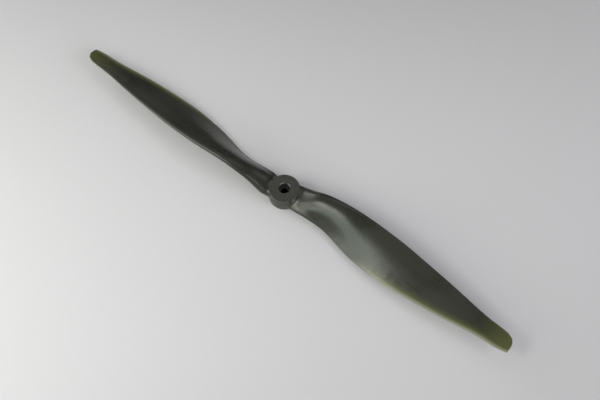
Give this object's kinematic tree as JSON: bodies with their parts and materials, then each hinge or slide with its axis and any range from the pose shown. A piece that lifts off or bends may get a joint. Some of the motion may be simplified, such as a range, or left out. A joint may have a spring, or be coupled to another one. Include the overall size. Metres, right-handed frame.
{
  "type": "propeller",
  "caption": "Slim moulded two-blade model aircraft propeller with a drafted round hub, stepped shaft hole and a slide-in adapter ring in the back.",
  "frame": {"origin": "centre of the shaft hole at the hub's back face", "axes": "+Z along the shaft hole towards the front of the hub, +X along one blade"},
  "size_m": [0.3048, 0.0246, 0.0174],
  "materials": {
    "moulding": "semi-matt glass-fibre-filled nylon",
    "ring": "semi-matt nylon"
  },
  "bodies": {
    "moulding": {"hub_and_blades": "moulding"},
    "ring": {"adapter_ring": "ring"}
  },
  "joints": [
    {"name": "ring_slide", "type": "slide", "parent": "moulding", "child": "ring", "axis": [0, 0, -1], "range_m": [0, 0.008]}
  ]
}
